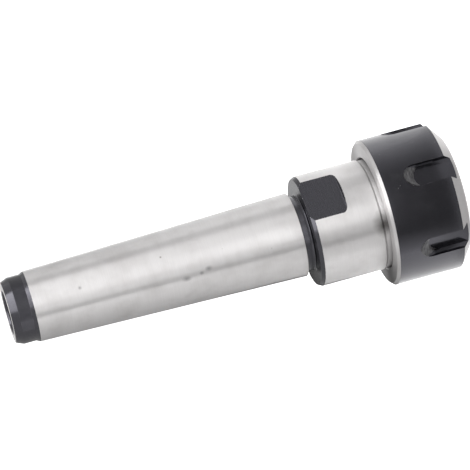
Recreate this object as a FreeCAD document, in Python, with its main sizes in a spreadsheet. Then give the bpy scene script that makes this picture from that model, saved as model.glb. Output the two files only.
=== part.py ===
import FreeCAD, Part
import math
import os
import re
import Sketcher

# Collet chuck with a Morse taper 3 shank and a slotted clamping nut.
# The axis is Z. The nut's front face lies on Z = 0 and the drawbar end of the shank points up.
# All sizes are millimetres. Diameters are full diameters.

doc = FreeCAD.newDocument("ColletChuck")

# Driving sizes of the shank and the body.
body_sizes = {
    "gauge_diameter": 23.825,
    "taper_ratio": 19.922,
    "shank_length": 86.0,
    "gauge_offset": 5.0,
    "tail_diameter": 19.0,
    "tail_length": 6.7,
    "tail_shoulder": 1.05,
    "tail_chamfer_length": 2.15,
    "tail_chamfer_depth": 0.9,
    "neck_diameter": 21.6,
    "neck_length": 2.55,
    "neck_cone": 0.5,
    "collar_diameter": 31.7,
    "collar_length": 18.95,
    "collar_chamfer_length": 1.1,
    "collar_chamfer_depth": 0.6,
    "collar_front_chamfer": 0.55,
    "flat_depth": 1.51,
    "flat_length": 10.45,
    "flat_ramp": 1.05,
    "nose_wall": 2.5,
    "nose_length": 15.66,
    "nose_chamfer": 1.2,
    "seat_overrun": 2.1,
    "tool_bore_diameter": 16.5,
    "tool_bore_depth": 51.3,
    "drill_point_slope": 1.664,
    "drawbar_bore_diameter": 10.2,
    "drawbar_bore_depth": 36.0,
    "countersink_diameter": 12.6,
    "countersink_depth": 2.08,
}

# Driving sizes of the collet: 8 degree rear cone, 30 degree front cone, slits from both ends.
collet_sizes = {
    "collet_diameter": 26.0,
    "collet_length": 34.0,
    "collet_bore": 10.0,
    "collet_bore_length": 21.5,
    "collet_relief": 11.4,
    "collet_face_diameter": 19.5,
    "flange_diameter": 25.2,
    "flange_land": 0.4,
    "groove_diameter": 22.5,
    "groove_width": 2.2,
    "rear_cone_slope": 0.14054,
    "front_cone_slope": 0.57735,
    "slit_count": 8,
    "slit_width": 0.8,
    "front_slit_web": 5.0,
    "rear_slit_web": 10.6,
}

# Driving sizes of the nut.
nut_sizes = {
    "nut_diameter": 42.0,
    "nut_length": 23.0,
    "nut_rear_chamfer": 0.8,
    "nut_front_diameter": 33.2,
    "nut_cone_length": 3.4,
    "nut_mouth_length": 1.2,
    "nut_mouth_chamfer": 0.4,
    "lip_thickness": 1.4,
    "lip_clearance": 0.2,
    "lip_offset": 0.65,
    "relief_depth": 0.65,
    "relief_width": 2.5,
    "skirt_depth": 0.95,
    "skirt_length": 2.0,
    "slot_count": 6,
    "slot_width": 6.5,
    "slot_depth": 2.8,
    "slot_floor_length": 12.9,
    "slot_ramp": 3.2,
    "slot_angle": -13.4,
}

# Gaps between the pieces, and how far a cutting outline runs past the metal that it cuts.
fit_sizes = {
    "collet_recess": 0.6,
    "collet_standout": 0.8,
    "seat_gap": 0.05,
    "thread_gap": 0.05,
    "lip_front_gap": 0.36,
    "overcut": 1.0,
}

# The least metal, in cubic millimetres, that a cut removes.
least_cut = 0.01

sizes = {}
for group in (body_sizes, collet_sizes, nut_sizes, fit_sizes):
    sizes.update(group)

sheet = doc.addObject("Spreadsheet::Sheet", "Sizes")
for row, (alias, value) in enumerate(sizes.items(), start=1):
    sheet.set(f"A{row}", alias)
    sheet.set(f"B{row}", str(value))
    sheet.setAlias(f"B{row}", alias)
doc.recompute()

# The upright axis of every sketch and the normal of a circle drawn in one.
upright = FreeCAD.Vector(0, 1, 0)
normal = FreeCAD.Vector(0, 0, 1)

# Places along the axis, measured up from the nut's front face.
collet_cone_length = "(flange_diameter - collet_face_diameter) / 2 / front_cone_slope"
flange_front = f"collet_recess + {collet_cone_length}"
groove_front = f"{flange_front} + flange_land"
shoulder = f"{groove_front} + groove_width"
collet_rear = "collet_recess + collet_length"
nose_face = f"{shoulder} + collet_standout"
collar_front = f"{nose_face} + nose_length"
collar_rear = f"{collar_front} + collar_length"
taper_start = f"{collar_rear} + neck_length"
gauge_plane = f"{collar_rear} + gauge_offset"
tail_end = f"{collar_rear} + shank_length"
taper_end = f"{tail_end} - tail_length"
lip_front = f"{groove_front} + lip_front_gap"
lip_rear = f"{lip_front} + lip_thickness"

# Radius over the nose's thread, and radius of the nut's eccentric lip bore.
nose_radius = "collet_diameter / 2 + nose_wall"
lip_radius = "groove_diameter / 2 + lip_offset + lip_clearance"


def bound(expression):
    """Point every size's name in an expression at its cell in the sheet."""
    return re.sub(r"[a-z_]{4,}", lambda word: "Sizes." + word.group(), expression)


def seat_radius(place):
    """Radius of the body's rear cone seat at a place on the axis."""
    return f"collet_diameter / 2 - ({place} - ({shoulder})) * rear_cone_slope + seat_gap"


def nut_cone_radius(place):
    """Radius of the nut's front cone, which the collet's front cone bears on, at a place on the axis."""
    return f"collet_face_diameter / 2 + seat_gap + ({place} - collet_recess) * front_cone_slope"


def taper_radius(place):
    """Radius of the Morse taper at a place on the axis."""
    return f"gauge_diameter / 2 - ({place} - ({gauge_plane})) / taper_ratio / 2"


def new_body(name):
    body = doc.addObject("PartDesign::Body", name)
    body.Label = name
    return body


def origin_feature(body, role):
    for feature in body.Origin.OriginFeatures:
        if feature.Role == role:
            return feature
    raise RuntimeError(f"no origin feature {role}")


def new_sketch(body, name, plane, offset="0", turn="0"):
    """Sketch on one of the body's own planes, pushed along its normal and turned about its upright."""
    sketch = body.newObject("Sketcher::SketchObject", name)
    sketch.AttachmentSupport = [(origin_feature(body, plane), "")]
    sketch.MapMode = "FlatFace"
    sketch.AttachmentOffset = FreeCAD.Placement(FreeCAD.Vector(), FreeCAD.Rotation(upright, 1.0))
    sketch.setExpression("AttachmentOffset.Base.z", bound(offset))
    sketch.setExpression("AttachmentOffset.Rotation.Angle", bound(turn))
    return sketch


def fix_distance(sketch, kind, line, corner, expression):
    """Hold a corner's distance from the sketch's origin at an expression."""
    if expression.startswith("-"):
        index = sketch.addConstraint(Sketcher.Constraint(kind, line, corner, -1, 1, 1.0))
        expression = expression[1:]
    else:
        index = sketch.addConstraint(Sketcher.Constraint(kind, -1, 1, line, corner, 1.0))
    sketch.setExpression(f"Constraints[{index}]", bound(expression))


def draw_outline(sketch, corners):
    """Closed outline of straight lines, with every corner held by two expressions."""
    count = len(corners)
    start = [FreeCAD.Vector(1.0 + place, 1.0 + place * place, 0) for place in range(count)]
    for place in range(count):
        sketch.addGeometry(Part.LineSegment(start[place], start[(place + 1) % count]), False)
    for place in range(count):
        following = (place + 1) % count
        sketch.addConstraint(Sketcher.Constraint("Coincident", place, 2, following, 1))
    for place, (across, along) in enumerate(corners):
        if across == "0":
            sketch.addConstraint(Sketcher.Constraint("PointOnObject", place, 1, -2))
        else:
            fix_distance(sketch, "DistanceX", place, 1, across)
        if along == "0":
            sketch.addConstraint(Sketcher.Constraint("PointOnObject", place, 1, -1))
        else:
            fix_distance(sketch, "DistanceY", place, 1, along)


def draw_slot(sketch):
    """Slot outline just outside the rim: open at the nut's front, with a half-round end."""
    lean = "slot_ramp * (slot_depth + overcut) / slot_depth"
    half = sizes["slot_width"] / 2
    low = -sizes["overcut"]
    high = sizes["slot_floor_length"]
    left, right = FreeCAD.Vector(-half, high, 0), FreeCAD.Vector(half, high, 0)
    left_foot, right_foot = FreeCAD.Vector(-half, low, 0), FreeCAD.Vector(half, low, 0)
    circle = Part.Circle(FreeCAD.Vector(0, high, 0), normal, half)
    sketch.addGeometry(Part.LineSegment(left_foot, right_foot), False)
    sketch.addGeometry(Part.LineSegment(right_foot, right), False)
    sketch.addGeometry(Part.ArcOfCircle(circle, 0.0, math.pi), False)
    sketch.addGeometry(Part.LineSegment(left, left_foot), False)
    sketch.addConstraint(Sketcher.Constraint("Coincident", 0, 2, 1, 1))
    sketch.addConstraint(Sketcher.Constraint("Tangent", 1, 2, 2, 1))
    sketch.addConstraint(Sketcher.Constraint("Tangent", 2, 2, 3, 1))
    sketch.addConstraint(Sketcher.Constraint("Coincident", 3, 2, 0, 1))
    sketch.addConstraint(Sketcher.Constraint("Horizontal", 0))
    sketch.addConstraint(Sketcher.Constraint("Vertical", 1))
    sketch.addConstraint(Sketcher.Constraint("PointOnObject", 2, 3, -2))
    radius = sketch.addConstraint(Sketcher.Constraint("Radius", 2, half))
    sketch.setExpression(f"Constraints[{radius}]", bound("slot_width / 2"))
    fix_distance(sketch, "DistanceY", 0, 1, "-overcut")
    fix_distance(sketch, "DistanceY", 2, 3, f"slot_floor_length - slot_width / 2 + {lean}")


def revolve(body, name, sketch):
    feature = body.newObject("PartDesign::Revolution", name)
    feature.Profile = sketch
    feature.ReferenceAxis = (sketch, ["V_Axis"])
    feature.Angle = 360
    doc.recompute()


def pocket(body, name, sketch, length, midplane, reverse=False):
    """Straight cut of a sketch, to a length given by an expression."""
    feature = body.newObject("PartDesign::Pocket", name)
    feature.Profile = sketch
    feature.Type = "Length"
    feature.Midplane = midplane
    feature.Reversed = reverse
    feature.setExpression("Length", bound(length))
    doc.recompute()
    return feature


def polar_pattern(body, name, original, count):
    """Copies of a feature all round the axis."""
    pattern = body.newObject("PartDesign::PolarPattern", name)
    pattern.Originals = [original]
    pattern.Axis = (origin_feature(body, "Z_Axis"), [""])
    pattern.Angle = 360
    pattern.setExpression("Occurrences", bound(count))
    body.Tip = pattern
    doc.recompute()
    return pattern


def require_cut(body, before):
    """Stop if the last feature removed no metal."""
    if body.Shape.Volume > before - least_cut:
        raise RuntimeError(f"{body.Label}: the last cut removed nothing")
    return body.Shape.Volume


def build_holder():
    """Shank, collar and threaded nose, turned and ground from one bar."""
    body = new_body("holder_body")
    profile = new_sketch(body, "HolderProfile", "XZ_Plane")
    bore_end = f"{nose_face} + tool_bore_depth"
    bore_radius = "tool_bore_diameter / 2"
    seat_end = f"{collet_rear} + seat_overrun"
    drawbar_end = f"{tail_end} - drawbar_bore_depth"
    drawbar_radius = "drawbar_bore_diameter / 2"
    draw_outline(profile, [
        ("0", f"{bore_end} + {bore_radius} / drill_point_slope"),
        (bore_radius, bore_end),
        (bore_radius, seat_end),
        (seat_radius(seat_end), seat_end),
        (seat_radius(nose_face), nose_face),
        (f"{nose_radius} - nose_chamfer", nose_face),
        (nose_radius, f"{nose_face} + nose_chamfer"),
        (nose_radius, f"{collar_front} - collar_front_chamfer"),
        ("collar_diameter / 2", collar_front),
        ("collar_diameter / 2", f"{collar_rear} - collar_chamfer_length"),
        ("collar_diameter / 2 - collar_chamfer_depth", collar_rear),
        ("neck_diameter / 2 + neck_cone", collar_rear),
        ("neck_diameter / 2", f"{collar_rear} + neck_cone"),
        ("neck_diameter / 2", taper_start),
        (taper_radius(taper_start), taper_start),
        (taper_radius(taper_end), taper_end),
        ("tail_diameter / 2", f"{taper_end} + tail_shoulder"),
        ("tail_diameter / 2", f"{tail_end} - tail_chamfer_length"),
        ("tail_diameter / 2 - tail_chamfer_depth", tail_end),
        ("countersink_diameter / 2", tail_end),
        (drawbar_radius, f"{tail_end} - countersink_depth"),
        (drawbar_radius, drawbar_end),
        ("0", f"{drawbar_end} - {drawbar_radius} / drill_point_slope"),
    ])
    revolve(body, "Turning", profile)
    volume = body.Shape.Volume

    # Two opposite spanner flats, open to the collar's rear face, each with a sloping end wall.
    flat = new_sketch(body, "FlatProfile", "XZ_Plane")
    outside = "(collar_diameter / 2 + overcut)"
    floor = "(collar_diameter / 2 - flat_depth)"
    wall_run = "(flat_depth + overcut) * flat_ramp / flat_depth"
    draw_outline(flat, [
        (floor, f"{collar_rear} - flat_length"),
        (outside, f"{collar_rear} - flat_length - {wall_run}"),
        (outside, f"{collar_rear} + overcut"),
        (floor, f"{collar_rear} + overcut"),
    ])
    cut = pocket(body, "SpannerFlat", flat, "collar_diameter", True)
    polar_pattern(body, "SpannerFlats", cut, "2")
    require_cut(body, volume)
    return body


def build_collet():
    """Spring collet: turned, grooved for the nut's lip and slit from both ends."""
    body = new_body("collet")
    profile = new_sketch(body, "ColletProfile", "XZ_Plane")
    rear_radius = f"collet_diameter / 2 - ({collet_rear} - ({shoulder})) * rear_cone_slope"
    bore_end = "collet_recess + collet_bore_length"
    relief_step = "(collet_relief - collet_bore) / 2"
    draw_outline(profile, [
        ("collet_bore / 2", "collet_recess"),
        ("collet_face_diameter / 2", "collet_recess"),
        ("flange_diameter / 2", flange_front),
        ("flange_diameter / 2", groove_front),
        ("groove_diameter / 2", groove_front),
        ("groove_diameter / 2", shoulder),
        ("collet_diameter / 2", shoulder),
        (rear_radius, collet_rear),
        ("collet_relief / 2", collet_rear),
        ("collet_relief / 2", f"{bore_end} + {relief_step}"),
        ("collet_bore / 2", bore_end),
    ])
    revolve(body, "Turning", profile)
    volume = body.Shape.Volume

    front = new_sketch(body, "FrontSlitProfile", "XZ_Plane")
    draw_outline(front, [
        ("0", "-overcut"),
        ("collet_diameter", "-overcut"),
        ("collet_diameter", f"{collet_rear} - front_slit_web"),
        ("0", f"{collet_rear} - front_slit_web"),
    ])
    cut = pocket(body, "FrontSlit", front, "slit_width", True)
    polar_pattern(body, "FrontSlits", cut, "slit_count")
    volume = require_cut(body, volume)

    # The rear slits run midway between the front ones.
    rear = new_sketch(body, "RearSlitProfile", "XZ_Plane", turn="180 / slit_count")
    draw_outline(rear, [
        ("0", "collet_recess + rear_slit_web"),
        ("collet_diameter", "collet_recess + rear_slit_web"),
        ("collet_diameter", f"{collet_rear} + overcut"),
        ("0", f"{collet_rear} + overcut"),
    ])
    cut = pocket(body, "RearSlit", rear, "slit_width", True)
    polar_pattern(body, "RearSlits", cut, "slit_count")
    require_cut(body, volume)
    return body


def build_nut():
    """Slotted clamping nut with a cone for the collet and an eccentric lip that pulls it out."""
    body = new_body("clamping_nut")
    profile = new_sketch(body, "NutProfile", "XZ_Plane")
    mouth = nut_cone_radius("nut_mouth_length")
    thread_radius = f"({nose_radius} + thread_gap)"
    relief_radius = f"({thread_radius} + relief_depth)"
    relief_end = f"{lip_rear} + relief_width"
    skirt_radius = f"({thread_radius} + skirt_depth)"
    skirt_start = "nut_length - skirt_length"
    draw_outline(profile, [
        (f"{mouth} + nut_mouth_chamfer", "0"),
        ("nut_front_diameter / 2", "0"),
        ("nut_diameter / 2", "nut_cone_length"),
        ("nut_diameter / 2", "nut_length - nut_rear_chamfer"),
        ("nut_diameter / 2 - nut_rear_chamfer", "nut_length"),
        (skirt_radius, "nut_length"),
        (skirt_radius, skirt_start),
        (thread_radius, skirt_start),
        (thread_radius, relief_end),
        (relief_radius, relief_end),
        (relief_radius, lip_rear),
        (f"{lip_radius} - lip_offset - overcut", lip_rear),
        (f"{lip_radius} - lip_offset - overcut", lip_front),
        (nut_cone_radius(lip_front), lip_front),
        (mouth, "nut_mouth_length"),
        (mouth, "nut_mouth_chamfer"),
    ])
    revolve(body, "Turning", profile)
    volume = body.Shape.Volume

    # The lip is bored off centre, so that one side of it stands in the collet's groove.
    lip = new_sketch(body, "LipBore", "XY_Plane", lip_front)
    centre = FreeCAD.Vector(sizes["lip_offset"], 0, 0)
    lip.addGeometry(Part.Circle(centre, normal, sizes["groove_diameter"] / 2), False)
    lip.addConstraint(Sketcher.Constraint("PointOnObject", 0, 3, -1))
    fix_distance(lip, "DistanceX", 0, 3, "lip_offset")
    radius = lip.addConstraint(Sketcher.Constraint("Radius", 0, sizes["groove_diameter"] / 2))
    lip.setExpression(f"Constraints[{radius}]", bound(lip_radius))
    pocket(body, "LipCut", lip, "lip_thickness", False, reverse=True)
    volume = require_cut(body, volume)

    # Each slot has a flat floor, parallel sides and a half-round end that leans back to the rim.
    outline = new_sketch(body, "SlotOutline", "YZ_Plane", "nut_diameter / 2 + overcut")
    draw_slot(outline)
    slot = pocket(body, "Slot", outline, "slot_depth + overcut", False)
    slot.UseCustomVector = True
    slot.AlongSketchNormal = True
    slot.Direction = FreeCAD.Vector(-1, 0, -1)
    slot.setExpression("Direction.x", bound("-slot_depth"))
    slot.setExpression("Direction.z", bound("-slot_ramp"))
    doc.recompute()
    polar_pattern(body, "Slots", slot, "slot_count")
    require_cut(body, volume)
    body.Placement = FreeCAD.Placement(FreeCAD.Vector(), FreeCAD.Rotation(normal, 1.0))
    body.setExpression("Placement.Rotation.Angle", bound("slot_angle"))
    doc.recompute()
    return body


parts = [build_holder(), build_collet(), build_nut()]
doc.recompute()

for item in doc.Objects:
    if "Invalid" in item.State or "Error" in item.State:
        raise RuntimeError(f"{item.Label} failed: {item.State}")

os.makedirs("parts", exist_ok=True)
for part in parts:
    if part.Shape.isNull() or not part.Shape.isValid():
        raise RuntimeError(f"{part.Label} has no valid shape")
    box = part.Shape.BoundBox
    print(f"{part.Label}: volume {part.Shape.Volume:.1f}, Z {box.ZMin:.2f} to {box.ZMax:.2f}")
    part.Shape.exportStep(f"parts/{part.Label}.step")
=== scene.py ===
import math
import bmesh
import bpy
from mathutils import Matrix, Vector


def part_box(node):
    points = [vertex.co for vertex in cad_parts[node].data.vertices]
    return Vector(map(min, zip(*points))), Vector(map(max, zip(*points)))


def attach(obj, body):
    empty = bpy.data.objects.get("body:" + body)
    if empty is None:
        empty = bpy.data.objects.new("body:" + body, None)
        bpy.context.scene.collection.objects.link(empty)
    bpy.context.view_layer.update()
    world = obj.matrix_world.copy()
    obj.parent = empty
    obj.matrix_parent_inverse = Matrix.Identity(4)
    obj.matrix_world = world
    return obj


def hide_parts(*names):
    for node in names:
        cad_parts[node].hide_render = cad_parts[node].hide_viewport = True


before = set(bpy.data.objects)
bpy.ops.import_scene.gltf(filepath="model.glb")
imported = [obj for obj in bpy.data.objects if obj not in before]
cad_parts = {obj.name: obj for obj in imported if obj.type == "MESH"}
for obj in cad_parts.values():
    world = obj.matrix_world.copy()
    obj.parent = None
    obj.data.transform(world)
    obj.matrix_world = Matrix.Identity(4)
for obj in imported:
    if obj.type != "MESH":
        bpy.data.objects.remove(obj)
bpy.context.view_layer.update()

# A collet chuck on a taper shank, with a slotted clamping nut. It stands on the nut's face, shank up.

mm = 0.001  # sizes below are in millimetres, unless a note says otherwise
fullTurn = 2 * math.pi
markDepth = 0.02  # of the marks that tools leave


# Sizes that the frame gives

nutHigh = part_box("clamping_nut")[1] / mm
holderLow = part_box("holder_body")[0] / mm
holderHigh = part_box("holder_body")[1] / mm
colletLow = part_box("collet")[0] / mm
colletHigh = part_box("collet")[1] / mm
nutRadius = round(nutHigh.x, 2)
nutLength = round(nutHigh.z, 2)
noseFace = round(holderLow.z, 3)
tailEnd = round(holderHigh.z, 3)
colletFace = round(colletLow.z, 3)
colletRear = round(colletHigh.z, 3)


# Nodes, for shaders and geometry alike

def feed(tree, value, socket):  # a socket is linked, and anything else goes in as the value
    if isinstance(value, bpy.types.NodeSocket):
        tree.links.new(value, socket)
    else:
        socket.default_value = value


def addNode(tree, kind, settings=None, **inputs):  # inputs go by their labels, with _ for a space
    made = tree.nodes.new(kind)
    for label, value in (settings or {}).items():
        setattr(made, label, value)
    for label, value in inputs.items():
        feed(tree, value, made.inputs[label.replace("_", " ")])
    return made


def calc(tree, operation, *values):  # one Math node, fed with numbers or sockets
    made = addNode(tree, "ShaderNodeMath", {"operation": operation})
    for value, socket in zip(values, made.inputs):
        feed(tree, value, socket)
    return made.outputs[0]


def splitXyz(tree, vector):
    return addNode(tree, "ShaderNodeSeparateXYZ", Vector=vector).outputs


def joinXyz(tree, x=0.0, y=0.0, z=0.0):
    return addNode(tree, "ShaderNodeCombineXYZ", X=x, Y=y, Z=z).outputs[0]


def hypotenuse(tree, x, y):
    squares = calc(tree, "ADD", calc(tree, "MULTIPLY", x, x), calc(tree, "MULTIPLY", y, y))
    return calc(tree, "SQRT", squares)


def objectPlace(tree):
    return addNode(tree, "ShaderNodeTexCoord").outputs["Object"]


def noise(tree, vector, scale=1.0, detail=3.0, roughness=0.5):
    made = addNode(tree, "ShaderNodeTexNoise", Vector=vector, Scale=scale, Detail=detail, Roughness=roughness)
    return made.outputs["Fac"]


def remap(tree, value, low, high, newLow=0.0, newHigh=1.0):
    made = addNode(tree, "ShaderNodeMapRange", Value=value, From_Min=low, From_Max=high,
                   To_Min=newLow, To_Max=newHigh)
    return made.outputs["Result"]


def fromNoise(tree, value, low=0.0, high=1.0):  # spreads noise, which keeps near its middle, over a range
    return remap(tree, value, 0.3, 0.7, low, high)


def bump(tree, height, strength):
    made = addNode(tree, "ShaderNodeBump", Height=height, Strength=strength, Distance=markDepth * mm)
    return made.outputs["Normal"]


# Shader node groups: what several finishes share

def newShaderGroup(name, inputs, outputs):
    group = bpy.data.node_groups.new(name, "ShaderNodeTree")
    for label, value in inputs.items():
        socket = group.interface.new_socket(name=label, in_out="INPUT", socket_type="NodeSocketFloat")
        socket.default_value = value
    for label, kind in outputs.items():
        group.interface.new_socket(name=label, in_out="OUTPUT", socket_type="NodeSocket" + kind)
    return group, addNode(group, "NodeGroupInput").outputs, addNode(group, "NodeGroupOutput").inputs


def makeLatheMarks():  # fine rings round the axis, left by turning and grinding
    group, source, result = newShaderGroup(
        "latheMarks",
        {"Line Width": 0.12, "Wander": 1.5, "Patch Size": 6.0, "Bump": 0.2},
        {"Lines": "Float", "Patches": "Float", "Normal": "Vector"},
    )
    x, y, z = splitXyz(group, objectPlace(group))
    radius = hypotenuse(group, x, y)
    safeRadius = calc(group, "MAXIMUM", radius, 0.1 * mm)  # nothing is divided by zero on the axis
    along = calc(group, "DIVIDE", calc(group, "ADD", z, radius), mm)
    aroundX = calc(group, "MULTIPLY", calc(group, "DIVIDE", x, safeRadius), source["Wander"])
    aroundY = calc(group, "MULTIPLY", calc(group, "DIVIDE", y, safeRadius), source["Wander"])
    fine = joinXyz(group, aroundX, aroundY, calc(group, "DIVIDE", along, source["Line Width"]))
    broad = joinXyz(group, aroundX, aroundY, calc(group, "DIVIDE", along, source["Patch Size"]))
    lines = noise(group, fine, detail=4.0, roughness=0.65)
    feed(group, lines, result["Lines"])
    feed(group, noise(group, broad), result["Patches"])
    feed(group, bump(group, lines, source["Bump"]), result["Normal"])
    return group


def makeSpecks():  # sparse small spots: dust and pits
    group, source, result = newShaderGroup("specks", {"Spacing": 4.0, "Size": 0.12}, {"Mask": "Float"})
    scaled = addNode(group, "ShaderNodeVectorMath", {"operation": "SCALE"}, Vector=objectPlace(group),
                     Scale=calc(group, "DIVIDE", 1 / mm, source["Spacing"]))
    cells = addNode(group, "ShaderNodeTexVoronoi", Vector=scaled.outputs[0], Scale=1.0)
    spotSize = calc(group, "DIVIDE", source["Size"], source["Spacing"])
    inside = calc(group, "DIVIDE", cells.outputs["Distance"], spotSize)
    feed(group, remap(group, inside, 0.5, 1.0, 1.0, 0.0), result["Mask"])
    return group


latheMarks = makeLatheMarks()
specks = makeSpecks()


# Finishes

def newFinish(name):
    finish = bpy.data.materials.new(name)
    finish.use_nodes = True
    tree = finish.node_tree
    return finish, tree, tree.nodes["Principled BSDF"]


def useGroup(tree, group, **values):
    return addNode(tree, "ShaderNodeGroup", {"node_tree": group}, **values).outputs


def setShader(tree, shader, **values):
    for label, value in values.items():
        feed(tree, value, shader.inputs[label.replace("_", " ")])


def blendColours(tree, share, first, second):
    made = addNode(tree, "ShaderNodeMix", {"data_type": "RGBA"}, Factor=share)
    for label, colour in (("A", first), ("B", second)):
        feed(tree, (*colour, 1.0) if isinstance(colour, tuple) else colour, made.inputs[label])
    return made.outputs["Result"]


def turnGrain(tree, shader, amount):  # highlights spread across the grinding lines
    tangent = addNode(tree, "ShaderNodeTangent", {"direction_type": "RADIAL", "axis": "Z"})
    setShader(tree, shader, Tangent=tangent.outputs["Tangent"], Anisotropic=amount, Anisotropic_Rotation=0.25)


paintedReflection = {  # painted dark reflection of the nut, on the collar where it meets the nut
    "turn": -47.0,  # degrees
    "height": 24.0,
    "spread": 16.0,  # degrees
    "reach": 3.4,
    "outside": 16.2,  # past this radius, on the nut's face, it is faint
    "fade": 0.3,
    "most": 0.85,
    "least": 0.1,
}
stains = [  # small dull marks on the taper: turn, height, spread and reach, as for the painted reflection
    (-54.5, 80.4, 5.0, 1.5),
    (-51.5, 76.0, 3.4, 0.8),
    (-47.5, 73.8, 4.4, 1.2),
    (-26.0, 109.5, 3.4, 0.6),
]


def spotMask(tree, here, turn, height, spread, reach):  # 0 at its ragged edge, 1 in the middle
    x, y, z = splitXyz(tree, here)
    around = calc(tree, "SUBTRACT", calc(tree, "ARCTAN2", y, x), math.radians(turn))
    across = calc(tree, "DIVIDE", around, math.radians(spread))
    along = calc(tree, "DIVIDE", calc(tree, "SUBTRACT", calc(tree, "DIVIDE", z, mm), height), reach)
    wander = remap(tree, noise(tree, here, scale=500.0, detail=2.0), 0, 1, -0.2, 0.2)
    return remap(tree, calc(tree, "ADD", hypotenuse(tree, across, along), wander), 0.1, 1.0, 1.0, 0.0)


# mask of the nut's dark reflection, painted on the collar and faint on the nut's face
def paintedReflectionMask(tree, here):
    x, y = splitXyz(tree, here)[:2]
    edge = paintedReflection["outside"]
    onCollar = remap(tree, hypotenuse(tree, x, y), edge * mm, (edge + paintedReflection["fade"]) * mm,
                     paintedReflection["most"], paintedReflection["least"])
    spot = spotMask(tree, here, paintedReflection["turn"], paintedReflection["height"], paintedReflection["spread"], paintedReflection["reach"])
    return calc(tree, "MULTIPLY", spot, onCollar)


groundLook = {
    "dark": (0.565, 0.553, 0.552),
    "light": (0.605, 0.593, 0.592),
    "cloud": (0.42, 0.405, 0.40),
    "cloudScale": 130.0,
    "cloudRange": (0.45, 0.8),
    "cloudShare": 0.55,
    "pit": (0.30, 0.29, 0.28),
    # colour of the painted dark reflection of the nut
    "reflectionDark": (0.045, 0.04, 0.036),
    "stain": (0.16, 0.155, 0.16),
    "stainShare": 0.62,
    "roughness": (0.36, 0.42),
    "grain": 0.95,
}


def makeGroundSteel():
    finish, tree, shader = newFinish("groundSteel")
    here = objectPlace(tree)
    marks = useGroup(tree, latheMarks, Line_Width=0.16, Wander=1.2, Patch_Size=5.0, Bump=0.05)
    pits = useGroup(tree, specks, Spacing=7.0, Size=0.4)
    lines = fromNoise(tree, marks["Lines"])
    clouds = noise(tree, here, scale=groundLook["cloudScale"], roughness=0.6)
    clouds = remap(tree, clouds, *groundLook["cloudRange"], newHigh=groundLook["cloudShare"])
    steel = blendColours(tree, lines, groundLook["dark"], groundLook["light"])
    steel = blendColours(tree, clouds, steel, groundLook["cloud"])
    steel = blendColours(tree, pits["Mask"], steel, groundLook["pit"])
    # painted dark reflection of the nut on the collar
    steel = blendColours(tree, paintedReflectionMask(tree, here), steel, groundLook["reflectionDark"])
    for stain in stains:
        share = calc(tree, "MULTIPLY", spotMask(tree, here, *stain), groundLook["stainShare"])
        steel = blendColours(tree, share, steel, groundLook["stain"])
    roughness = fromNoise(tree, marks["Patches"], *groundLook["roughness"])
    setShader(tree, shader, Base_Color=steel, Roughness=roughness, Normal=marks["Normal"], Metallic=1.0)
    turnGrain(tree, shader, groundLook["grain"])
    return finish


oxideLook = {
    "dark": (0.0015, 0.0015, 0.0018),
    "light": (0.005, 0.005, 0.006),
    "scuff": (0.012, 0.012, 0.013),
    "scuffScale": 190.0,
    "scuffRange": (0.54, 0.74),
    "dust": (0.10, 0.10, 0.10),
    "roughness": (0.17, 0.24),
    "grain": 0.15,
    "refraction": 1.68,
    "tint": (0.90, 0.885, 1.0, 1),
}


def makeBlackOxide():
    finish, tree, shader = newFinish("blackOxide")
    marks = useGroup(tree, latheMarks, Line_Width=0.22, Wander=1.0, Patch_Size=4.0, Bump=0.05)
    dust = useGroup(tree, specks, Spacing=3.1, Size=0.16)
    scuffs = noise(tree, objectPlace(tree), scale=oxideLook["scuffScale"], detail=5.0, roughness=0.65)
    scuffs = remap(tree, scuffs, *oxideLook["scuffRange"])
    oxide = blendColours(tree, marks["Lines"], oxideLook["dark"], oxideLook["light"])
    oxide = blendColours(tree, scuffs, oxide, oxideLook["scuff"])
    oxide = blendColours(tree, dust["Mask"], oxide, oxideLook["dust"])
    roughness = fromNoise(tree, marks["Patches"], *oxideLook["roughness"])
    setShader(tree, shader, Base_Color=oxide, Roughness=roughness, Normal=marks["Normal"],
              IOR=oxideLook["refraction"], Specular_Tint=oxideLook["tint"])
    turnGrain(tree, shader, oxideLook["grain"])
    return finish


milledLook = {
    "dark": (0.002, 0.002, 0.0025),
    "light": (0.009, 0.009, 0.011),
    "sweepTurn": 38,  # degrees
    "sweepScale": (200, 260, 2600),
    "refraction": 1.7,
}


def makeMilledOxide(name, roughness, relief):  # black left as milled, with the cutter's sweeps across it
    finish, tree, shader = newFinish(name)
    mapping = addNode(tree, "ShaderNodeMapping", Vector=objectPlace(tree), Scale=milledLook["sweepScale"],
                      Rotation=(math.radians(milledLook["sweepTurn"]), 0, 0))
    sweeps = noise(tree, mapping.outputs["Vector"])
    oxide = blendColours(tree, sweeps, milledLook["dark"], milledLook["light"])
    setShader(tree, shader, Base_Color=oxide, Roughness=fromNoise(tree, sweeps, *roughness),
              Normal=bump(tree, sweeps, relief), IOR=milledLook["refraction"],
              Specular_Tint=oxideLook["tint"])
    return finish


rampHighlightLook = {
    "dark": (0.07, 0.07, 0.073),
    "light": (0.17, 0.168, 0.174),
    "brushScale": (900, 900, 3200),
    "brushRange": (0.35, 0.65),
    "roughness": (0.28, 0.4),
    "relief": 0.12,
    "bare": 0.9,  # how far the steel shows through
}


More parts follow.
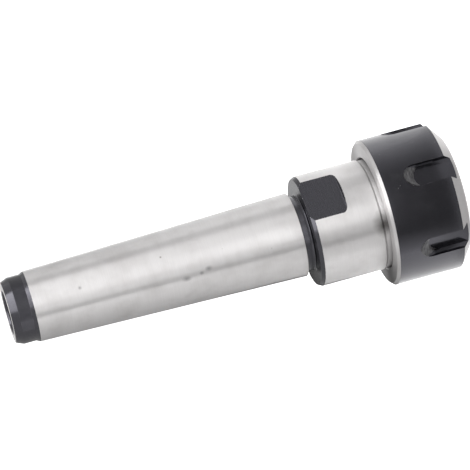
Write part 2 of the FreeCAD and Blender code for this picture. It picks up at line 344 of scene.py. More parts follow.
def makeRampOxideAndHighlight():  # thin black over the steel on the slots' sloping ends, brushed by the cutter, and painted lighter as a highlight where those ends catch the light
    finish, tree, shader = newFinish("rampOxide")
    mapping = addNode(tree, "ShaderNodeMapping", Vector=objectPlace(tree), Scale=rampHighlightLook["brushScale"])
    brushed = noise(tree, mapping.outputs["Vector"])
    share = remap(tree, brushed, *rampHighlightLook["brushRange"])
    shade = blendColours(tree, share, rampHighlightLook["dark"], rampHighlightLook["light"])
    setShader(tree, shader, Base_Color=shade, Roughness=fromNoise(tree, brushed, *rampHighlightLook["roughness"]),
              Normal=bump(tree, brushed, rampHighlightLook["relief"]), Metallic=rampHighlightLook["bare"])
    return finish


edgeWearAndHighlightLook = {
    "dark": (0.25, 0.25, 0.25),
    "light": (0.8, 0.8, 0.8),
    "wearScale": 1800.0,
    "wearRange": (0.42, 0.58),
    "roughness": (0.6, 0.45),
}


def makeWornAndHighlitEdge():  # black worn off to steel along a sharp edge, and lightened as a painted highlight line along it
    finish, tree, shader = newFinish("wornEdge")
    wear = noise(tree, objectPlace(tree), scale=edgeWearAndHighlightLook["wearScale"], detail=4.0, roughness=0.7)
    share = remap(tree, wear, *edgeWearAndHighlightLook["wearRange"])
    shade = blendColours(tree, share, edgeWearAndHighlightLook["dark"], edgeWearAndHighlightLook["light"])
    roughness = fromNoise(tree, wear, *edgeWearAndHighlightLook["roughness"])
    setShader(tree, shader, Base_Color=shade, Roughness=roughness, Metallic=1.0)
    return finish


colletLook = {
    "dark": (0.50, 0.50, 0.51),
    "light": (0.66, 0.66, 0.67),
    "roughness": (0.22, 0.32),
    "grain": 0.6,
}


def makeColletSteel():
    finish, tree, shader = newFinish("colletSteel")
    marks = useGroup(tree, latheMarks, Line_Width=0.10, Wander=1.0, Patch_Size=3.0, Bump=0.08)
    steel = blendColours(tree, marks["Lines"], colletLook["dark"], colletLook["light"])
    roughness = fromNoise(tree, marks["Patches"], *colletLook["roughness"])
    setShader(tree, shader, Base_Color=steel, Roughness=roughness, Normal=marks["Normal"], Metallic=1.0)
    turnGrain(tree, shader, colletLook["grain"])
    return finish


groundSteel = makeGroundSteel()
blackOxide = makeBlackOxide()
milledOxide = makeMilledOxide("milledOxide", (0.22, 0.34), 0.2)
slotOxide = makeMilledOxide("slotOxide", (0.14, 0.2), 0.08)
rampOxide = makeRampOxideAndHighlight()
wornEdge = makeWornAndHighlitEdge()
colletSteel = makeColletSteel()
print("finishes made")


# Turned shapes

lathe = {
    "segments": 288,
    "arcSteps": 3,
    "leastBend": math.radians(6),
    "supportGap": 1.5,  # a guard ring beside a corner, in corner radii
    "arcShare": 0.3,  # the most that an arc takes of the stretch beside it
    "guardShare": 0.4,
}
black, ground = 0, 1  # slots of the pieces that are partly black and partly bright
pastFace = 1.0  # cutters reach this far beyond the faces that they cut


def aroundAxis(radius, angle, height):
    return radius * mm * math.cos(angle), radius * mm * math.sin(angle), height * mm


def makePiece(name, mesh, finishes):
    data = bpy.data.meshes.new(name)
    mesh.to_mesh(data)
    mesh.free()
    for finish in finishes:
        data.materials.append(finish)
    piece = bpy.data.objects.new(name, data)
    bpy.context.scene.collection.objects.link(piece)
    return piece


def softened(corners):
    # each corner is (radius, height, softness, finish of the stretch after it); soft corners become arcs
    outline = []
    count = len(corners)
    for index, (radius, height, softness, finish) in enumerate(corners):
        here = Vector((radius, height))
        before = Vector(corners[index - 1][:2]) - here
        after = Vector(corners[(index + 1) % count][:2]) - here
        lastFinish = corners[index - 1][3]
        bend = math.pi - before.angle(after)
        if softness == 0 or bend < lathe["leastBend"]:
            outline.append((radius, height, finish))
            continue
        shorter = min(before.length, after.length)
        reach = min(softness * math.tan(bend / 2), lathe["arcShare"] * shorter)
        guard = min(reach + lathe["supportGap"] * softness, lathe["guardShare"] * shorter)
        start, end = before.normalized(), after.normalized()
        outline.append((*(here + start * guard), lastFinish))
        for step in range(lathe["arcSteps"] + 1):
            share = step / lathe["arcSteps"]
            first = here + start * reach * (1 - share)
            second = here + end * reach * share
            outline.append((*first.lerp(second, share), finish if share > 0.5 else lastFinish))
        outline.append((*(here + end * guard), finish))
    return outline


def turnMesh(name, corners, finishes):
    mesh = bmesh.new()
    outline = softened(corners)
    segments = lathe["segments"]
    rings = []
    for radius, height, finish in outline:
        steps = segments if radius > 0 else 1  # one point where the outline meets the axis
        angles = [fullTurn * step / segments for step in range(steps)]
        rings.append([mesh.verts.new(aroundAxis(radius, angle, height)) for angle in angles])
    for index, low in enumerate(rings):
        high = rings[(index + 1) % len(rings)]
        if len(low) == 1 and len(high) == 1:
            continue
        for step in range(segments):
            following = (step + 1) % segments
            if len(low) == 1:
                border = [low[0], high[following], high[step]]
            elif len(high) == 1:
                border = [low[step], low[following], high[0]]
            else:
                border = [low[step], low[following], high[following], high[step]]
            face = mesh.faces.new(border)
            face.material_index = outline[index][2]
            face.smooth = True
    bmesh.ops.recalc_face_normals(mesh, faces=mesh.faces)
    return makePiece(name, mesh, finishes)


def loft(name, first, second, finish):  # closed solid between two outlines with as many points
    mesh = bmesh.new()
    start = [mesh.verts.new(Vector(point) * mm) for point in first]
    end = [mesh.verts.new(Vector(point) * mm) for point in second]
    mesh.faces.new(start)
    mesh.faces.new(reversed(end))
    for index in range(len(start)):
        following = (index + 1) % len(start)
        mesh.faces.new([start[index], end[index], end[following], start[following]])
    bmesh.ops.recalc_face_normals(mesh, faces=mesh.faces)
    return makePiece(name, mesh, [finish])


def prism(name, outline, direction, finish):  # closed solid: an outline of points pushed along a direction
    return loft(name, outline, [Vector(point) + Vector(direction) for point in outline], finish)


# Geometry node trees: what repeats round the axis or follows a helix

def newGeometryTree(name, inputs):
    tree = bpy.data.node_groups.new(name, "GeometryNodeTree")
    tree.interface.new_socket(name="Geometry", in_out="INPUT", socket_type="NodeSocketGeometry")
    for label, kind in inputs.items():
        tree.interface.new_socket(name=label, in_out="INPUT", socket_type="NodeSocket" + kind)
    tree.interface.new_socket(name="Geometry", in_out="OUTPUT", socket_type="NodeSocketGeometry")
    return tree, addNode(tree, "NodeGroupInput").outputs, addNode(tree, "NodeGroupOutput").inputs


def makeRingCutTree():  # a cutter repeated round the axis and taken out of a turned piece
    tree, source, result = newGeometryTree("ringCut", {
        "Cutter": "Object", "Count": "Int", "First Angle": "Float", "Cut Finish": "Material",
    })
    cutter = addNode(tree, "GeometryNodeObjectInfo", Object=source["Cutter"])
    marked = addNode(tree, "GeometryNodeStoreNamedAttribute", {"data_type": "BOOLEAN", "domain": "FACE"},
                     Geometry=cutter.outputs["Geometry"], Name="milled", Value=True)
    points = addNode(tree, "GeometryNodePoints", Count=source["Count"])
    index = addNode(tree, "GeometryNodeInputIndex")
    step = calc(tree, "DIVIDE", fullTurn, source["Count"])
    angle = calc(tree, "MULTIPLY_ADD", index.outputs[0], step, source["First Angle"])
    rotation = addNode(tree, "FunctionNodeEulerToRotation", Euler=joinXyz(tree, z=angle))
    ring = addNode(tree, "GeometryNodeInstanceOnPoints", Points=points.outputs[0],
                   Instance=marked.outputs[0], Rotation=rotation.outputs[0])
    solid = addNode(tree, "GeometryNodeRealizeInstances", Geometry=ring.outputs[0])
    cut = addNode(tree, "GeometryNodeMeshBoolean", {"operation": "DIFFERENCE", "solver": "EXACT"},
                  Mesh_1=source["Geometry"], Mesh_2=solid.outputs[0])
    edges = addNode(tree, "GeometryNodeStoreNamedAttribute", {"data_type": "FLOAT", "domain": "EDGE"},
                    Geometry=cut.outputs["Mesh"], Selection=cut.outputs["Intersecting Edges"],
                    Name="bevel_weight_edge", Value=1.0)
    final = addNode(tree, "GeometryNodeRealizeInstances", Geometry=edges.outputs[0])
    milled = addNode(tree, "GeometryNodeInputNamedAttribute", {"data_type": "BOOLEAN"}, Name="milled")
    painted = addNode(tree, "GeometryNodeSetMaterial", Geometry=final.outputs[0],
                      Selection=milled.outputs[0], Material=source["Cut Finish"])
    feed(tree, painted.outputs[0], result[0])
    return tree


def makeThreadTree():  # one helical ridge; a negative depth points it at the axis
    tree, source, result = newGeometryTree("threadRidge", {
        "Root Radius": "Float", "Depth": "Float", "Pitch": "Float", "Turns": "Float", "Start": "Float",
        "Base Width": "Float", "Crest Width": "Float", "Fade": "Float", "Finish": "Material",
    })
    height = calc(tree, "MULTIPLY", source["Pitch"], source["Turns"])
    helix = addNode(tree, "GeometryNodeCurveSpiral", Resolution=96, Rotations=source["Turns"],
                    Start_Radius=source["Root Radius"], End_Radius=source["Root Radius"], Height=height)
    upright = addNode(tree, "GeometryNodeSetCurveNormal", {"mode": "Z_UP"}, Curve=helix.outputs[0])
    halfBase = calc(tree, "MULTIPLY", source["Base Width"], 0.5)
    halfCrest = calc(tree, "MULTIPLY", source["Crest Width"], 0.5)
    embed = calc(tree, "MULTIPLY", source["Depth"], -0.08)  # its foot lies a little way in the metal
    corners = []
    for across, along in ((halfBase, embed), (halfCrest, source["Depth"]),
                          (calc(tree, "MULTIPLY", halfCrest, -1.0), source["Depth"]),
                          (calc(tree, "MULTIPLY", halfBase, -1.0), embed)):
        corners.append(joinXyz(tree, along, across))
    section = addNode(tree, "GeometryNodeCurvePrimitiveQuadrilateral", {"mode": "POINTS"},
                      Point_1=corners[0], Point_2=corners[1], Point_3=corners[2], Point_4=corners[3])
    share = addNode(tree, "GeometryNodeSplineParameter").outputs["Factor"]
    fromEnd = calc(tree, "MINIMUM", share, calc(tree, "SUBTRACT", 1.0, share))
    swell = calc(tree, "MAXIMUM", calc(tree, "DIVIDE", fromEnd, source["Fade"]), 0.02)
    ridge = addNode(tree, "GeometryNodeCurveToMesh", Curve=upright.outputs[0], Fill_Caps=True,
                    Profile_Curve=section.outputs[0], Scale=calc(tree, "MINIMUM", swell, 1.0))
    placed = addNode(tree, "GeometryNodeTransform", Geometry=ridge.outputs[0],
                     Translation=joinXyz(tree, z=source["Start"]))
    final = addNode(tree, "GeometryNodeRealizeInstances", Geometry=placed.outputs[0])
    painted = addNode(tree, "GeometryNodeSetMaterial", Geometry=final.outputs[0], Material=source["Finish"])
    feed(tree, painted.outputs[0], result[0])
    return tree


ringCut = makeRingCutTree()
threadRidge = makeThreadTree()


def settle(piece):  # turns a piece and its modifiers into one plain mesh
    bpy.context.view_layer.update()
    graph = bpy.context.evaluated_depsgraph_get()
    result = bpy.data.meshes.new_from_object(piece.evaluated_get(graph), depsgraph=graph)
    piece.modifiers.clear()
    old = piece.data
    piece.data = result
    bpy.data.meshes.remove(old)
    result.name = piece.name


def applyTree(piece, tree, values):
    modifier = piece.modifiers.new(tree.name, "NODES")
    modifier.node_group = tree
    for item in tree.interface.items_tree:
        if item.in_out == "INPUT" and item.name in values:
            modifier[item.identifier] = values[item.name]
    settle(piece)


def cutRing(piece, cutter, count, firstAngle, finish):
    applyTree(piece, ringCut, {
        "Cutter": cutter, "Count": count, "First Angle": firstAngle, "Cut Finish": finish,
    })
    bpy.data.objects.remove(cutter)


def easeEdges(piece, width, edgeFinish):
    # narrow bevel on the cut edges, and flat faces that stay flat in the light
    bevel = piece.modifiers.new("edges", "BEVEL")
    bevel.limit_method = "WEIGHT"
    bevel.width = width * mm
    bevel.segments = 2
    if edgeFinish is not None:
        # the bevel faces take the edge finish: wear, plus a painted highlight line
        piece.data.materials.append(edgeFinish)
        bevel.material = len(piece.data.materials) - 1
    shading = piece.modifiers.new("shading", "WEIGHTED_NORMAL")
    shading.mode = "FACE_AREA"
    shading.weight = 100
    shading.keep_sharp = False
    settle(piece)


def cutThread(name, sizes, finish):
    piece = makePiece(name, bmesh.new(), [finish])
    applyTree(piece, threadRidge, {
        "Root Radius": sizes["rootRadius"] * mm, "Depth": sizes["depth"] * mm, "Pitch": sizes["pitch"] * mm,
        "Turns": sizes["turns"], "Start": sizes["start"] * mm, "Base Width": sizes["baseWidth"] * mm,
        "Crest Width": sizes["crestWidth"] * mm, "Fade": sizes["fade"], "Finish": finish,
    })
    return piece


# Shank, collar and nose

shank = {
    "collarRear": tailEnd - 86.0,
    "collarFront": tailEnd - 104.95,
    "collarRadius": 15.85,
    "collarRearRadius": 15.25,
    "collarBevel": 1.1,
    "neckRadius": 10.8,
    "neckLength": 2.55,
    "gaugeRadius": 11.9125,  # of the taper at its gauge plane
    "gaugeOffset": 5.0,  # from the collar to that plane
    "taperRatio": 19.922,  # length for each millimetre less in diameter
    "tailLength": 6.7,
    "tailRadius": 9.5,
    "tailStep": 1.05,
    "tailBevel": 2.15,
    "endRadius": 8.6,
    "countersink": 6.3,
    "countersinkDepth": 0.6,
    "drawbarMajor": 6.0,
    "drawbarDrill": 5.1,
    "drawbarThread": 27.0,  # this and the next three are depths from the tail's end
    "drawbarNarrow": 28.5,
    "drawbarDepth": 36.0,
    "drawbarTip": 39.06,
    "ringRadius": 15.5,  # plain ring between the collar and the nose's thread
    "ringFront": 2.5,  # this and the next two go down from the collar's front
    "ringRear": 0.55,
    "threadEnd": 3.0,
    "threadRoot": 15.08,
    "noseRadius": 14.3,
    "noseBevel": 0.8,
    "seatMouth": 12.94,
    "seatRear": 9.04,
    "seatBeyond": 2.1,  # the collet's seat ends this far behind the collet
    "boreRadius": 8.25,
    "boreDepth": 51.3,  # this and the next are from the nose's face
    "boreTip": 56.26,
    "flatCount": 2,
    "flatDistance": 14.34,  # of the spanner flats from the axis
    "flatLength": 10.6,
    "flatRamp": 0.5,
    "flatHalf": 6.9,
    "flatCorner": 1.6,
    "arcPoints": 12,
    "edge": 0.08,  # bevel on the edges of the flats
}


def taperAt(height):
    gauge = shank["collarRear"] + shank["gaugeOffset"]
    return shank["gaugeRadius"] - (height - gauge) / shank["taperRatio"] / 2


def makeFlatCutter():  # level floor with two round corners, and an end wall that leans to the rim
    rear = shank["collarRear"]
    distance = shank["flatDistance"]
    half, corner = shank["flatHalf"], shank["flatCorner"]
    outside = shank["collarRadius"] + pastFace
    run = (outside - distance) * shank["flatRamp"] / (shank["collarRadius"] - distance)
    plan = [(half, rear + pastFace, 0.0)]
    for side, begin in ((1, 0), (-1, 90)):
        for step in range(shank["arcPoints"] + 1):
            angle = math.radians(begin + 90 * step / shank["arcPoints"])
            across = side * (half - corner) + corner * math.cos(angle)
            height = rear - shank["flatLength"] + corner * (1 - math.sin(angle))
            plan.append((across, height, math.sin(angle)))
    plan.append((-half, rear + pastFace, 0.0))
    floorLine = [(distance, across, height) for across, height, share in plan]
    rimLine = [(outside, across, height - run * share) for across, height, share in plan]
    return loft("flatCutter", floorLine, rimLine, milledOxide)


def buildHolder():
    rear, front = shank["collarRear"], shank["collarFront"]
    taperStart = rear + shank["neckLength"]
    taperEnd = tailEnd - shank["tailLength"]
    seatEnd = colletRear + shank["seatBeyond"]
    # from the bore out over the nose, up the outside to the tail, and down the drawbar hole
    corners = [
        (0, noseFace + shank["boreTip"], 0, black),
        (shank["boreRadius"], noseFace + shank["boreDepth"], 0.1, black),
        (shank["boreRadius"], seatEnd, 0.1, black),
        (shank["seatRear"], seatEnd, 0.1, ground),
        (shank["seatMouth"], noseFace, 0.1, black),
        (shank["noseRadius"], noseFace, 0.1, black),
        (shank["threadRoot"], noseFace + shank["noseBevel"], 0.1, black),
        (shank["threadRoot"], front - shank["threadEnd"], 0.1, black),
        (shank["ringRadius"], front - shank["ringFront"], 0.1, ground),
        (shank["ringRadius"], front - shank["ringRear"], 0.04, ground),
        (shank["collarRadius"], front, 0.08, ground),
        (shank["collarRadius"], rear - shank["collarBevel"], 0.08, black),
        (shank["collarRearRadius"], rear, 0.12, black),
        (shank["neckRadius"], rear, 0.5, black),
        (shank["neckRadius"], taperStart, 0.1, black),
        (taperAt(taperStart), taperStart, 0.1, ground),
        (taperAt(taperEnd), taperEnd, 0.12, black),
        (shank["tailRadius"], taperEnd + shank["tailStep"], 0.12, black),
        (shank["tailRadius"], tailEnd - shank["tailBevel"], 0.12, black),
        (shank["endRadius"], tailEnd, 0.12, ground),
        (shank["countersink"], tailEnd, 0.1, black),
        (shank["drawbarMajor"], tailEnd - shank["countersinkDepth"], 0.05, black),
        (shank["drawbarMajor"], tailEnd - shank["drawbarThread"], 0, black),
        (shank["drawbarDrill"], tailEnd - shank["drawbarNarrow"], 0, black),
        (shank["drawbarDrill"], tailEnd - shank["drawbarDepth"], 0, black),
        (0, tailEnd - shank["drawbarTip"], 0, black),
    ]
    body = turnMesh("holderBody", corners, [blackOxide, groundSteel])
    cutRing(body, makeFlatCutter(), shank["flatCount"], 0.0, milledOxide)
    easeEdges(body, shank["edge"], wornEdge)
    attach(body, "holder")
    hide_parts("holder_body")
    return body


holderBody = buildHolder()
print("holder made", len(holderBody.data.polygons))


# Threads, each one ridge

noseThread = {
    "rootRadius": shank["threadRoot"],
    "depth": 0.88,
    "pitch": 1.5,
    "turns": 8.0,
    "start": noseFace + 0.7,
    "baseWidth": 1.22,
    "crestWidth": 0.22,
    "fade": 0.06,  # the share of its length over which an end runs out
}
nutThread = {
    "rootRadius": 16.03,
    "depth": -0.82,
    "pitch": noseThread["pitch"],
    "turns": 6.5,
    "start": 10.3,
    "baseWidth": 1.22,
    "crestWidth": 0.30,
    "fade": 0.05,
}
drawbarThread = {
    "rootRadius": shank["drawbarMajor"],
    "depth": -0.85,
    "pitch": 1.75,
    "turns": 14.5,
    "start": tailEnd - 26.5,
    "baseWidth": 1.42,
    "crestWidth": 0.32,
    "fade": 0.03,
}

# the nut's ridge lies half a pitch from the nose's, so that they mesh
phase = (nutThread["start"] - noseThread["start"]) % nutThread["pitch"]
nutThread["start"] += nutThread["pitch"] / 2 - phase

for name, sizes, body, cadSlot, finish in (
    ("noseThread", noseThread, "holder", "ground_steel", blackOxide),
    ("nutThread", nutThread, "nut", "black_oxide_steel", blackOxide),
    ("drawbarThread", drawbarThread, "holder", "ground_steel", groundSteel),
):
    piece = cutThread(name, sizes, finish)
    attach(piece, body)
    print(name, "made", len(piece.data.polygons))


# Clamping nut

nut = {  # heights from the front face
    "frontRadius": 16.6,
    "coneLength": 3.4,
    "skirtRadius": 16.1,
    "rearChamfer": 0.8,  # this and the next three go down from the rear face
    "skirtBevel": 0.3,
    "skirtDepth": 2.0,
    "threadRear": 2.1,
    "threadFront": 10.3,
    "reliefRadius": 16.2,
    "reliefRear": 10.2,
    "lipRear": 7.7,
    "lipFront": 6.3,
    "lipRadius": 12.1,
    "lipOffset": 0.65,
    "lipReach": 0.3,  # points this near to the lip's radius shift with it
    "seatRadius": 13.09,
    "mouthRadius": 10.15,
    "mouthLength": 1.2,
    "mouthBevel": 0.4,
    "slotCount": 6,
    "slotWidth": 6.5,
    "slotDepth": 2.8,
    "slotFloor": 12.9,
    "slotRamp": 3.2,
    "slotAngle": math.radians(-13.4),
    "slotLean": -0.42,  # cut faces that look further down than this are the slots' leaning ends
    "arcPoints": 32,
    "edge": 0.17,  # bevel on the edges of the slots
}


def makeSlotCutter():  # half-round end that leans back to the rim
    half = nut["slotWidth"] / 2
    outside = nutRadius + pastFace
    floor = nutRadius - nut["slotDepth"]
    lean = nut["slotRamp"] * (outside - floor) / nut["slotDepth"]
    centre = nut["slotFloor"] - half + lean
    outline = [(outside, -half, -pastFace)]
    for step in range(nut["arcPoints"] + 1):
        angle = math.pi * (1 - step / nut["arcPoints"])
        outline.append((outside, half * math.cos(angle), centre + half * math.sin(angle)))
    outline.append((outside, half, -pastFace))
    return prism("slotCutter", outline, (floor - outside, 0, -lean), slotOxide)


def shiftLip(body):  # the lip that pulls the collet out is bored off centre
    shift = nut["lipOffset"] * mm
    for vertex in body.data.vertices:
        if abs(math.hypot(vertex.co.x, vertex.co.y) / mm - nut["lipRadius"]) < nut["lipReach"]:
            vertex.co.x += shift * math.cos(nut["slotAngle"])
            vertex.co.y += shift * math.sin(nut["slotAngle"])


def buildNut():
    rearRadius = nutRadius - nut["rearChamfer"]
    # across the front face, up the outside, over the rear face and down the bore
    corners = [
        (nut["mouthRadius"] + nut["mouthBevel"], 0, 0.15, ground),
        (nut["frontRadius"], 0, 0.15, ground),
        (nutRadius, nut["coneLength"], 0.12, black),
        (nutRadius, nutLength - nut["rearChamfer"], 0.08, ground),
        (rearRadius, nutLength, 0.08, ground),
        (nut["skirtRadius"] + nut["skirtBevel"], nutLength, 0.06, ground),
        (nut["skirtRadius"], nutLength - nut["skirtBevel"], 0.05, ground),
        (nut["skirtRadius"], nutLength - nut["skirtDepth"], 0.05, black),
        (nutThread["rootRadius"], nutLength - nut["threadRear"], 0.05, black),
        (nutThread["rootRadius"], nut["threadFront"], 0.05, black),
        (nut["reliefRadius"], nut["reliefRear"], 0.05, black),
        (nut["reliefRadius"], nut["lipRear"], 0.1, black),
        (nut["lipRadius"], nut["lipRear"], 0.1, black),
        (nut["lipRadius"], nut["lipFront"], 0.1, black),
        (nut["seatRadius"], nut["lipFront"], 0.05, black),
        (nut["mouthRadius"], nut["mouthLength"], 0.1, black),
        (nut["mouthRadius"], nut["mouthBevel"], 0.05, black),
    ]
    body = turnMesh("clampingNut", corners, [blackOxide, groundSteel])
    shiftLip(body)
    cutRing(body, makeSlotCutter(), nut["slotCount"], nut["slotAngle"], slotOxide)
    easeEdges(body, nut["edge"], wornEdge)
    slots = [finish.name for finish in body.data.materials]
    body.data.materials.append(rampOxide)
    # cut faces that look down, the slots' sloping ends, take the lighter oxide with its painted highlight
    for face in body.data.polygons:
        if slots[face.material_index] == slotOxide.name and face.normal.z < nut["slotLean"]:
            face.material_index = len(slots)
    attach(body, "nut")
    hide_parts("clamping_nut")
    return body


clampingNut = buildNut()
print("nut made", len(clampingNut.data.polygons))


# Collet

collet = {  # heights from its front face
    "boreRadius": 5.0,
    "boreLength": 21.5,
    "mouthBevel": 0.3,
    "rearBore": 5.7,
    "rearBoreStart": 22.2,
    "faceRadius": 9.75,
    "coneRadius": 12.6,
    "coneLength": 4.936,
    "grooveRadius": 11.25,
    "grooveFront": 5.336,
    "grooveRear": 7.536,
    "bodyRadius": 13.0,
    "rearRadius": 9.28,
    "slits": 8,
    "slitWidth": 0.8,
    "frontWeb": 5.0,  # what the front slits leave at the rear
    "rearWeb": 10.6,
    "edge": 0.06,  # bevel on the edges of the slits
}


def makeSlitCutter(low, high):
    half = collet["slitWidth"] / 2
    inside = collet["boreRadius"] - pastFace
    outside = collet["bodyRadius"] + pastFace
    outline = [(inside, -half, low), (inside, half, low), (outside, half, low), (outside, -half, low)]
    return prism("slitCutter", outline, (0, 0, high - low), colletSteel)


def buildCollet():
    steel = 0
    # across the front face, up the outside and down the bore
    corners = [
        (collet["boreRadius"] + collet["mouthBevel"], colletFace, 0.05, steel),
        (collet["faceRadius"], colletFace, 0.1, steel),
        (collet["coneRadius"], colletFace + collet["coneLength"], 0.05, steel),
        (collet["coneRadius"], colletFace + collet["grooveFront"], 0.05, steel),
        (collet["grooveRadius"], colletFace + collet["grooveFront"], 0.1, steel),
        (collet["grooveRadius"], colletFace + collet["grooveRear"], 0.1, steel),
        (collet["bodyRadius"], colletFace + collet["grooveRear"], 0.1, steel),
        (collet["rearRadius"], colletRear, 0.1, steel),
        (collet["rearBore"], colletRear, 0.1, steel),
        (collet["rearBore"], colletFace + collet["rearBoreStart"], 0, steel),
        (collet["boreRadius"], colletFace + collet["boreLength"], 0.05, steel),
        (collet["boreRadius"], colletFace + collet["mouthBevel"], 0.05, steel),
    ]
    body = turnMesh("springCollet", corners, [colletSteel])
    frontEnd = colletRear - collet["frontWeb"]
    rearStart = colletFace + collet["rearWeb"]
    halfStep = math.pi / collet["slits"]
    for low, high, firstAngle in ((-pastFace, frontEnd, 0.0), (rearStart, colletRear + pastFace, halfStep)):
        cutRing(body, makeSlitCutter(low, high), collet["slits"], firstAngle, colletSteel)
    easeEdges(body, collet["edge"], None)
    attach(body, "collet")
    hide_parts("collet")
    return body


springCollet = buildCollet()
print("collet made", len(springCollet.data.polygons))


# Floor, light and camera

studio = {
    "floorSize": 9.0,  # metres from its middle to its edge
    "floorTone": 0.80,
    "floorGlow": 0.93,
    "worldLight": 0.55,
    "sheetTone": 0.04,
    "sheetSteps": 24,
}
view = {
    "turn": math.radians(-34.1),
    "tilt": math.radians(8.657),
    "roll": math.radians(-105.13),
    "aimSide": 4.33,
    "aimHeight": 62.69,
    "distance": 839.0,
    "lens": 230.3,
    "sensor": 36.0,
    "clipEnd": 30.0,  # metres
}
# Sheets stand round the chuck, out of the camera's sight. Each has two rows of (radius, height) and stops of
# (degrees from the camera, brightness). Softboxes light everything, and cards only show as reflections.
softboxes = {
    "frontSoftbox": ([(520, 107), (520, 304)], [
        (-75, 0.7), (-62, 1.1), (-52, 1.8), (-44, 2.9), (-41, 0.7), (-33, 0.3), (-29, 0.8), (-26, 1.7),
        (-18, 1.9), (-8, 1.8), (0, 1.7), (20, 1.7), (65, 1.5)]),
    "highSoftbox": ([(520, 425), (520, 745)], [(-4, 3.8), (40, 4.8), (75, 6.6)]),
    "topSoftbox": ([(430, 850), (150, 950)], [(-15, 3.0), (75, 3.6)]),
}
cards = {
    "upperCard": ([(650, 5), (650, 340)], [(65, 1.0), (85, 0.6), (150, 0.5)]),
    "lowerCard": ([(650, 5), (650, 900)], [(-166, 0.3), (-125, 0.55), (-80, 0.8)]),
    "footCard": ([(16.8, 0.3), (38, 0.6)], [
        (-100, 1.4), (-60, 1.0), (-35, 0.6), (25, 0.6), (50, 1.1), (100, 1.4)]),
    "nearCard": ([(38, 0.6), (172, 2)], [
        (-68, 1.3), (-48, 0.4), (-40, 0.1), (-15, 0.01), (15, 0.03), (50, 0.22), (70, 0.8), (94, 1.5)]),
    "innerCard": ([(172, 2), (330, 2)], [
        (-175, 0.4), (-120, 0.5), (-64, 0.6), (-40, 0.7), (-20, 2.8), (15, 2.8), (50, 1.2), (70, 0.5),
        (90, 0.8)]),
    "collarCard": ([(60, 19), (60, 38)], [(-14, 1.3), (-4, 2.4), (14, 2.4), (30, 1.0)]),
    "middleCard": ([(330, 2), (1100, 2)], [
        (-175, 0.4), (-120, 0.6), (-64, 0.7), (-40, 0.35), (-20, 0.35), (15, 0.35), (55, 0.35), (70, 0.5),
        (90, 0.8)]),
    "farCard": ([(1100, 2), (3000, 2)], [(-30, 0.7), (-20, 0.4), (0, 0.5), (84, 0.7)]),
    "backCard": ([(60, 23.2), (60, 60)], [(150, 0.9), (174, 0.6), (184, 0.04), (215, 0.02)]),
}


def backdropRays(tree):  # 1 for the rays that see the white background, 0 for the light on the object
    rays = addNode(tree, "ShaderNodeLightPath").outputs
    seen = calc(tree, "MAXIMUM", rays["Is Glossy Ray"], rays["Is Transmission Ray"])
    return calc(tree, "MAXIMUM", rays["Is Camera Ray"], seen)


def makeFloor():
    mesh = bmesh.new()
    bmesh.ops.create_grid(mesh, x_segments=1, y_segments=1, size=studio["floorSize"])
    finish, tree, shader = newFinish("paleFloor")
    clouds = noise(tree, objectPlace(tree), scale=3.0, detail=2.0)
    tone = fromNoise(tree, clouds, studio["floorTone"], studio["floorTone"] + 0.02)
    colour = addNode(tree, "ShaderNodeCombineColor", Red=tone, Green=tone, Blue=tone)
    glow = calc(tree, "MULTIPLY", backdropRays(tree), studio["floorGlow"])
    setShader(tree, shader, Base_Color=colour.outputs[0], Roughness=0.9, Specular_IOR_Level=0.1,
              Emission_Color=(1, 1, 1, 1), Emission_Strength=glow)
    makePiece("paleFloor", mesh, [finish])


def makeWorld():
    world = bpy.data.worlds.new("studio")
    world.use_nodes = True
    bpy.context.scene.world = world
    tree = world.node_tree
    backdrop = tree.nodes["Background"]
    backdrop.inputs["Color"].default_value = (1, 1, 1, 1)
    strength = remap(tree, backdropRays(tree), 0, 1, studio["worldLight"], 1.0)
    feed(tree, strength, backdrop.inputs["Strength"])


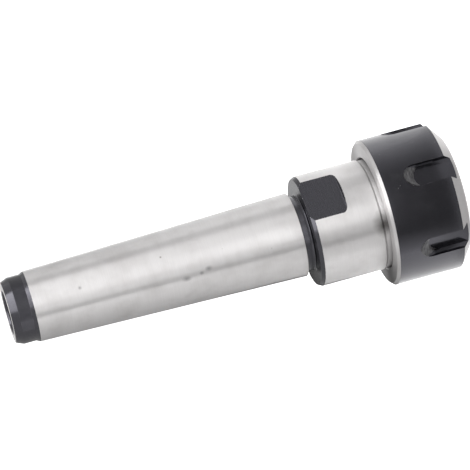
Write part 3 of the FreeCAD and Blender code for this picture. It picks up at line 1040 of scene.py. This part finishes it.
def makeCamera():
    turn, tilt, roll = view["turn"], view["tilt"], view["roll"]
    towards = Vector((math.cos(turn), math.sin(turn), 0))
    aim = Vector((-view["aimSide"] * towards.y, view["aimSide"] * towards.x, view["aimHeight"])) * mm
    forward = -towards * math.cos(tilt) - Vector((0, 0, math.sin(tilt)))
    level = forward.cross(Vector((0, 0, 1))).normalized()
    above = level.cross(forward)
    right = level * math.cos(roll) + above * math.sin(roll)
    up = right.cross(forward)
    data = bpy.data.cameras.new("view")
    data.sensor_width = view["sensor"]
    data.lens = view["lens"]
    data.clip_end = view["clipEnd"]
    camera = bpy.data.objects.new("view", data)
    facing = Matrix((right, up, -forward)).transposed().to_4x4()
    distance = view["distance"] * mm
    camera.matrix_world = Matrix.Translation(aim - forward * distance) @ facing
    bpy.context.scene.collection.objects.link(camera)
    bpy.context.scene.camera = camera


def makeGlow(name, stops):  # brightness that runs from stop to stop across the sheet
    finish, tree, shader = newFinish(name)
    across = splitXyz(tree, addNode(tree, "ShaderNodeUVMap").outputs["UV"])["X"]
    ramp = addNode(tree, "ShaderNodeValToRGB", Fac=across)
    first, last = stops[0][0], stops[-1][0]
    peak = max(brightness for turn, brightness in stops)
    marks = ramp.color_ramp.elements
    for index, (turn, brightness) in enumerate(stops):
        where = (turn - first) / (last - first)
        mark = marks[index] if index < 2 else marks.new(where)  # a new ramp has two marks
        mark.position = where
        mark.color = (*[brightness / peak] * 3, 1)
    strength = calc(tree, "MULTIPLY", ramp.outputs["Color"], peak)
    tone = (*[studio["sheetTone"]] * 3, 1)
    setShader(tree, shader, Base_Color=tone, Emission_Color=(1, 1, 1, 1), Emission_Strength=strength)
    return finish


def makeSheet(name, rows, stops, lights):
    finish = makeGlow(name, stops)
    mesh = bmesh.new()
    uv = mesh.loops.layers.uv.new("sheet")
    steps = studio["sheetSteps"]
    first, last = stops[0][0], stops[-1][0]
    grid = []
    for radius, height in rows:
        line = []
        for step in range(steps + 1):
            angle = view["turn"] + math.radians(first + (last - first) * step / steps)
            line.append(mesh.verts.new(aroundAxis(radius, angle, height)))
        grid.append(line)
    for near, far in zip(grid, grid[1:]):
        for step in range(steps):
            face = mesh.faces.new([near[step], near[step + 1], far[step + 1], far[step]])
            for loop, share in zip(face.loops, (step, step + 1, step + 1, step)):
                loop[uv].uv = (share / steps, 0.5)
    sheet = makePiece(name, mesh, [finish])
    sheet.visible_camera = False
    sheet.visible_shadow = False
    sheet.visible_diffuse = lights


makeFloor()
makeWorld()
makeCamera()
for sheets, lights in ((softboxes, True), (cards, False)):
    for name, (rows, stops) in sheets.items():
        makeSheet(name, rows, stops, lights)
bpy.context.scene.view_settings.view_transform = "Standard"
print("studio made")
